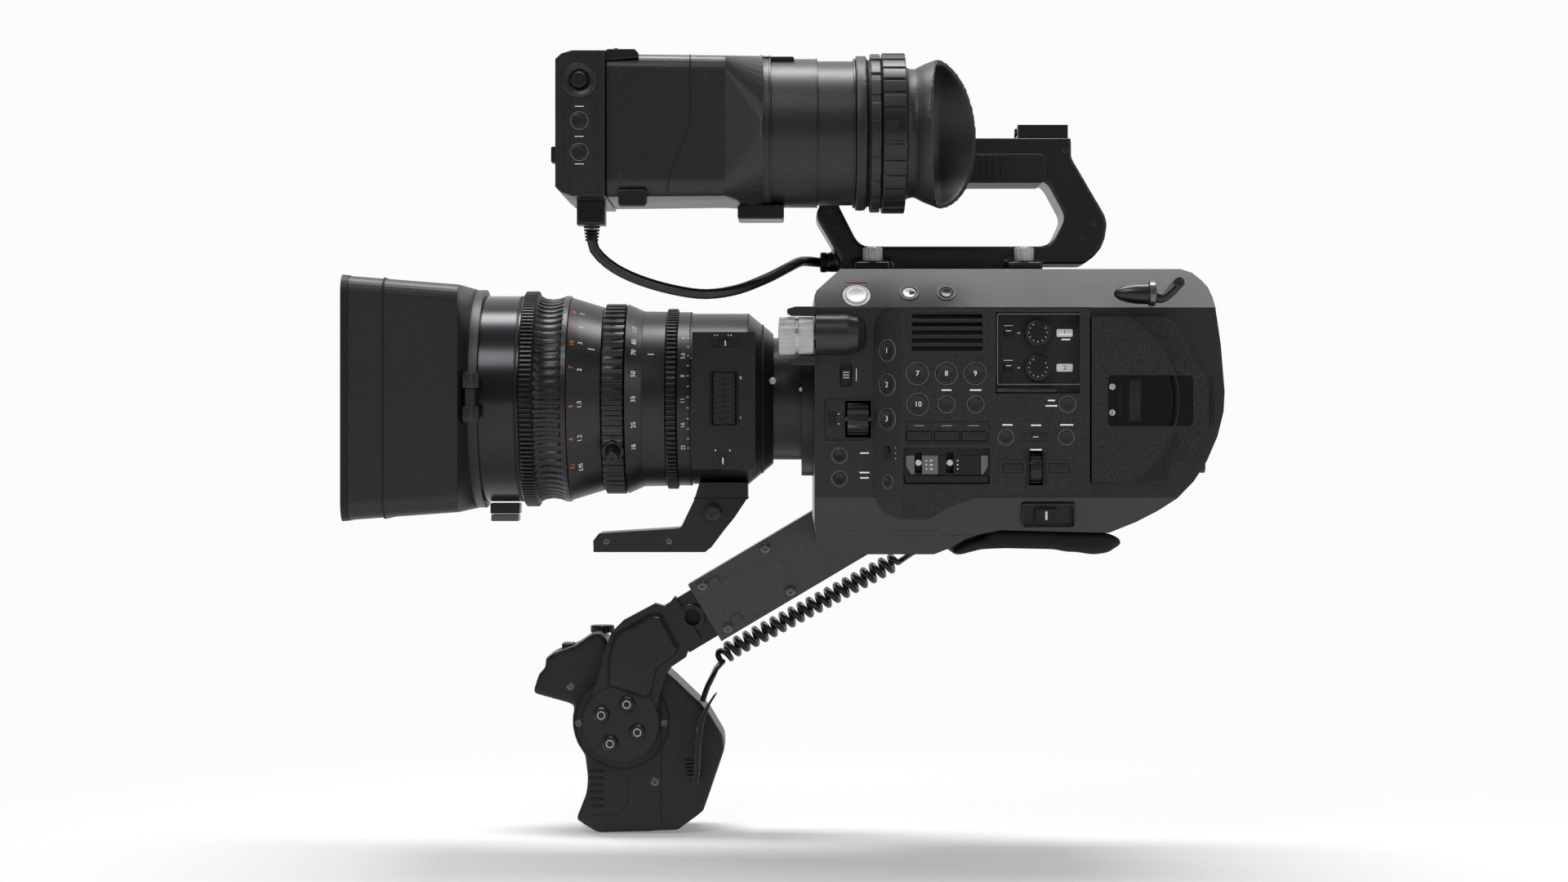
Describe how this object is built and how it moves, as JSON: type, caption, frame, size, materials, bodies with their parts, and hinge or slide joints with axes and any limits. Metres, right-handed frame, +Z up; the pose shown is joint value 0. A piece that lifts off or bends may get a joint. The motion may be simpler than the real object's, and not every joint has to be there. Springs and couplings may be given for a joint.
{
  "type": "cinema camera",
  "caption": "Shoulder-style digital cinema camera with servo zoom lens, rectangular hood, loupe viewfinder, top handle and hand grip on a swinging arm.",
  "frame": {"origin": "centre of the tripod thread's mouth on the underside of the base", "axes": "-X along the lens towards the subject, +X to the rear, -Y to the operator's side, +Z up"},
  "size_m": [0.4292, 0.2529, 0.3945],
  "materials": {
    "main_frame": "fine texture",
    "left_cover": "fine texture",
    "right_cover": "fine texture",
    "base_plate": "fine texture",
    "control_panel": "fine texture",
    "key_mat": "matte",
    "lens_mount": "brushed",
    "sensor_block": "matte",
    "main_board": "matte",
    "cooling_fan": "matte",
    "nd_housing": "fine texture",
    "handle_frame": "matte",
    "handle_grip": "matte",
    "handle_screws": "satin",
    "accessory_shoe": "satin",
    "rod_clamp": "matte",
    "lens_barrel": "fine texture",
    "lens_front_ring": "fine texture",
    "lens_glass": "polished",
    "lens_foot": "fine texture",
    "hood_shell": "matte",
    "strap_hooks": "brushed",
    "evf_cable": "satin",
    "grip_cable": "satin",
    "focus_ring": "matte",
    "zoom_ring": "matte",
    "iris_ring": "matte",
    "zoom_rocker": "matte",
    "hood_knob": "satin",
    "nd_dial": "satin",
    "nd_switch": "matte",
    "iris_wheel": "matte",
    "rec_button": "satin",
    "gain_toggle": "satin",
    "balance_toggle": "satin",
    "audio_dial_1": "matte",
    "audio_dial_2": "matte",
    "audio_cover": "polished",
    "media_door": "fine texture",
    "power_switch": "satin",
    "select_wheel": "matte",
    "shoulder_pad": "matte",
    "battery": "matte",
    "vf_rod": "satin",
    "evf_screen": "matte",
    "evf_panel": "polished",
    "evf_joystick": "matte",
    "loupe_housing": "matte",
    "loupe_barrel": "matte",
    "eyecup": "matte",
    "arm_channel": "matte",
    "arm_cover": "satin",
    "grip_bracket": "matte",
    "grip_body": "matte",
    "grip_strap": "woven",
    "grip_rocker": "matte"
  },
  "bodies": {
    "camera": {"main_frame": "main_frame", "left_cover": "left_cover", "right_cover": "right_cover", "base_plate": "base_plate", "control_panel": "control_panel", "key_mat": "key_mat", "lens_mount": "lens_mount", "sensor_block": "sensor_block", "main_board": "main_board", "cooling_fan": "cooling_fan", "nd_housing": "nd_housing", "handle_frame": "handle_frame", "handle_grip": "handle_grip", "handle_screws": "handle_screws", "accessory_shoe": "accessory_shoe", "rod_clamp": "rod_clamp", "lens_barrel": "lens_barrel", "lens_front_ring": "lens_front_ring", "lens_glass": "lens_glass", "lens_foot": "lens_foot", "hood_shell": "hood_shell", "strap_hooks": "strap_hooks", "evf_cable": "evf_cable", "grip_cable": "grip_cable"},
    "focus_ring": {"focus_ring": "focus_ring"},
    "zoom_ring": {"zoom_ring": "zoom_ring"},
    "iris_ring": {"iris_ring": "iris_ring"},
    "zoom_rocker": {"zoom_rocker": "zoom_rocker"},
    "hood_knob": {"hood_knob": "hood_knob"},
    "nd_dial": {"nd_dial": "nd_dial"},
    "nd_switch": {"nd_switch": "nd_switch"},
    "iris_wheel": {"iris_wheel": "iris_wheel"},
    "rec_button": {"rec_button": "rec_button"},
    "gain_toggle": {"gain_toggle": "gain_toggle"},
    "balance_toggle": {"balance_toggle": "balance_toggle"},
    "audio_dial_1": {"audio_dial_1": "audio_dial_1"},
    "audio_dial_2": {"audio_dial_2": "audio_dial_2"},
    "audio_cover": {"audio_cover": "audio_cover"},
    "media_door": {"media_door": "media_door"},
    "power_switch": {"power_switch": "power_switch"},
    "select_wheel": {"select_wheel": "select_wheel"},
    "shoulder_pad": {"shoulder_pad": "shoulder_pad"},
    "battery": {"battery": "battery"},
    "vf_rod": {"vf_rod": "vf_rod"},
    "evf": {"evf_screen": "evf_screen", "evf_panel": "evf_panel"},
    "evf_joystick": {"evf_joystick": "evf_joystick"},
    "loupe": {"loupe_housing": "loupe_housing"},
    "loupe_barrel": {"loupe_barrel": "loupe_barrel"},
    "eyecup": {"eyecup": "eyecup"},
    "arm": {"arm_channel": "arm_channel", "arm_cover": "arm_cover"},
    "bracket": {"grip_bracket": "grip_bracket"},
    "grip": {"grip_body": "grip_body", "grip_strap": "grip_strap"},
    "grip_rocker": {"grip_rocker": "grip_rocker"}
  },
  "joints": [
    {"name": "focus_turn", "type": "hinge", "parent": "camera", "child": "focus_ring", "pos_m": [-0.17, 0, 0.0772], "axis": [1, 0, 0], "range_deg": [-90, 90]},
    {"name": "zoom_turn", "type": "hinge", "parent": "camera", "child": "zoom_ring", "pos_m": [-0.1365, 0, 0.0772], "axis": [1, 0, 0], "range_deg": [-35, 90]},
    {"name": "iris_turn", "type": "hinge", "parent": "camera", "child": "iris_ring", "pos_m": [-0.108, 0, 0.0772], "axis": [1, 0, 0], "range_deg": [-45, 45]},
    {"name": "zoom_rocker_tilt", "type": "hinge", "parent": "camera", "child": "zoom_rocker", "pos_m": [-0.0812, -0.0495, 0.0772], "axis": [0, 0, 1], "range_deg": [-8, 8], "stiffness_Nm_per_rad": 0.05},
    {"name": "hood_knob_turn", "type": "hinge", "parent": "camera", "child": "hood_knob", "pos_m": [-0.2047, -0.0602, 0.0772], "axis": [0, 0, 1], "continuous": true},
    {"name": "filter_dial_turn", "type": "hinge", "parent": "camera", "child": "nd_dial", "pos_m": [-0.046, -0.058, 0.1072], "axis": [1, 0, 0], "range_deg": [0, 270]},
    {"name": "filter_preset_slide", "type": "slide", "parent": "camera", "child": "nd_switch", "axis": [0, 0, 1], "range_m": [-0.0015, 0.0015]},
    {"name": "iris_wheel_turn", "type": "hinge", "parent": "camera", "child": "iris_wheel", "pos_m": [-0.0158, -0.053, 0.0666], "axis": [1, 0, 0], "continuous": true},
    {"name": "record_press", "type": "slide", "parent": "camera", "child": "rec_button", "axis": [0, 0.7587, -0.6514], "range_m": [0, 0.0008], "stiffness_N_per_m": 800},
    {"name": "gain_toggle_tilt", "type": "hinge", "parent": "camera", "child": "gain_toggle", "pos_m": [0.0131, -0.065, 0.0453], "axis": [1, 0, 0], "range_deg": [-14, 14]},
    {"name": "balance_toggle_tilt", "type": "hinge", "parent": "camera", "child": "balance_toggle", "pos_m": [0.0283, -0.065, 0.0453], "axis": [1, 0, 0], "range_deg": [-14, 14]},
    {"name": "audio_dial_1_turn", "type": "hinge", "parent": "camera", "child": "audio_dial_1", "pos_m": [0.0711, -0.068, 0.1083], "axis": [0, 1, 0], "range_deg": [0, 300]},
    {"name": "audio_dial_2_turn", "type": "hinge", "parent": "camera", "child": "audio_dial_2", "pos_m": [0.0711, -0.068, 0.0914], "axis": [0, 1, 0], "range_deg": [0, 300]},
    {"name": "audio_cover_open", "type": "hinge", "parent": "camera", "child": "audio_cover", "pos_m": [0.07, -0.0705, 0.0803], "axis": [1, 0, 0], "range_deg": [0, 95]},
    {"name": "media_door_open", "type": "hinge", "parent": "camera", "child": "media_door", "pos_m": [0.0966, -0.0722, 0.076], "axis": [0, 0, 1], "range_deg": [-100, 0]},
    {"name": "power_slide", "type": "slide", "parent": "camera", "child": "power_switch", "axis": [1, 0, 0], "range_m": [-0.0005, 0.0075]},
    {"name": "select_wheel_turn", "type": "hinge", "parent": "camera", "child": "select_wheel", "pos_m": [0.07, -0.066, 0.0426], "axis": [1, 0, 0], "continuous": true},
    {"name": "shoulder_pad_slide", "type": "slide", "parent": "camera", "child": "shoulder_pad", "axis": [1, 0, 0], "range_m": [-0.001, 0.014]},
    {"name": "battery_out", "type": "slide", "parent": "camera", "child": "battery", "axis": [1, 0, 0], "range_m": [0, 0.08]},
    {"name": "viewfinder_rod_slide", "type": "slide", "parent": "camera", "child": "vf_rod", "axis": [1, 0, 0], "range_m": [-0.018, 0]},
    {"name": "viewfinder_tilt", "type": "hinge", "parent": "vf_rod", "child": "evf", "pos_m": [-0.147, -0.03, 0.2036], "axis": [0, 1, 0], "range_deg": [-60, 10], "deforming": ["evf_cable"]},
    {"name": "joystick_press", "type": "slide", "parent": "evf", "child": "evf_joystick", "axis": [0, 1, 0], "range_m": [0, 0.0003], "stiffness_N_per_m": 600},
    {"name": "loupe_flip", "type": "hinge", "parent": "evf", "child": "loupe", "pos_m": [-0.131, -0.08, 0.2388], "axis": [0, 1, 0], "range_deg": [-100, 0]},
    {"name": "loupe_focus_turn", "type": "hinge", "parent": "loupe", "child": "loupe_barrel", "pos_m": [-0.06, -0.08, 0.2036], "axis": [1, 0, 0], "range_deg": [-60, 60]},
    {"name": "eyecup_turn", "type": "hinge", "parent": "loupe_barrel", "child": "eyecup", "pos_m": [0, -0.08, 0.2036], "axis": [1, 0, 0], "continuous": true},
    {"name": "arm_swing", "type": "hinge", "parent": "camera", "child": "arm", "pos_m": [0.005, 0.07, 0.0234], "axis": [0, 1, 0], "range_deg": [-35, 25], "deforming": ["grip_cable"]},
    {"name": "arm_extend", "type": "slide", "parent": "arm", "child": "bracket", "axis": [-0.8599, 0, -0.5105], "range_m": [0, 0.035]},
    {"name": "grip_turn", "type": "hinge", "parent": "bracket", "child": "grip", "pos_m": [-0.1383, 0.08, -0.0938], "axis": [0, 1, 0], "range_deg": [-20, 20]},
    {"name": "grip_rocker_tilt", "type": "hinge", "parent": "grip", "child": "grip_rocker", "pos_m": [-0.168, 0.09, -0.066], "axis": [0, 1, 0], "range_deg": [-6, 6], "stiffness_Nm_per_rad": 0.05}
  ]
}
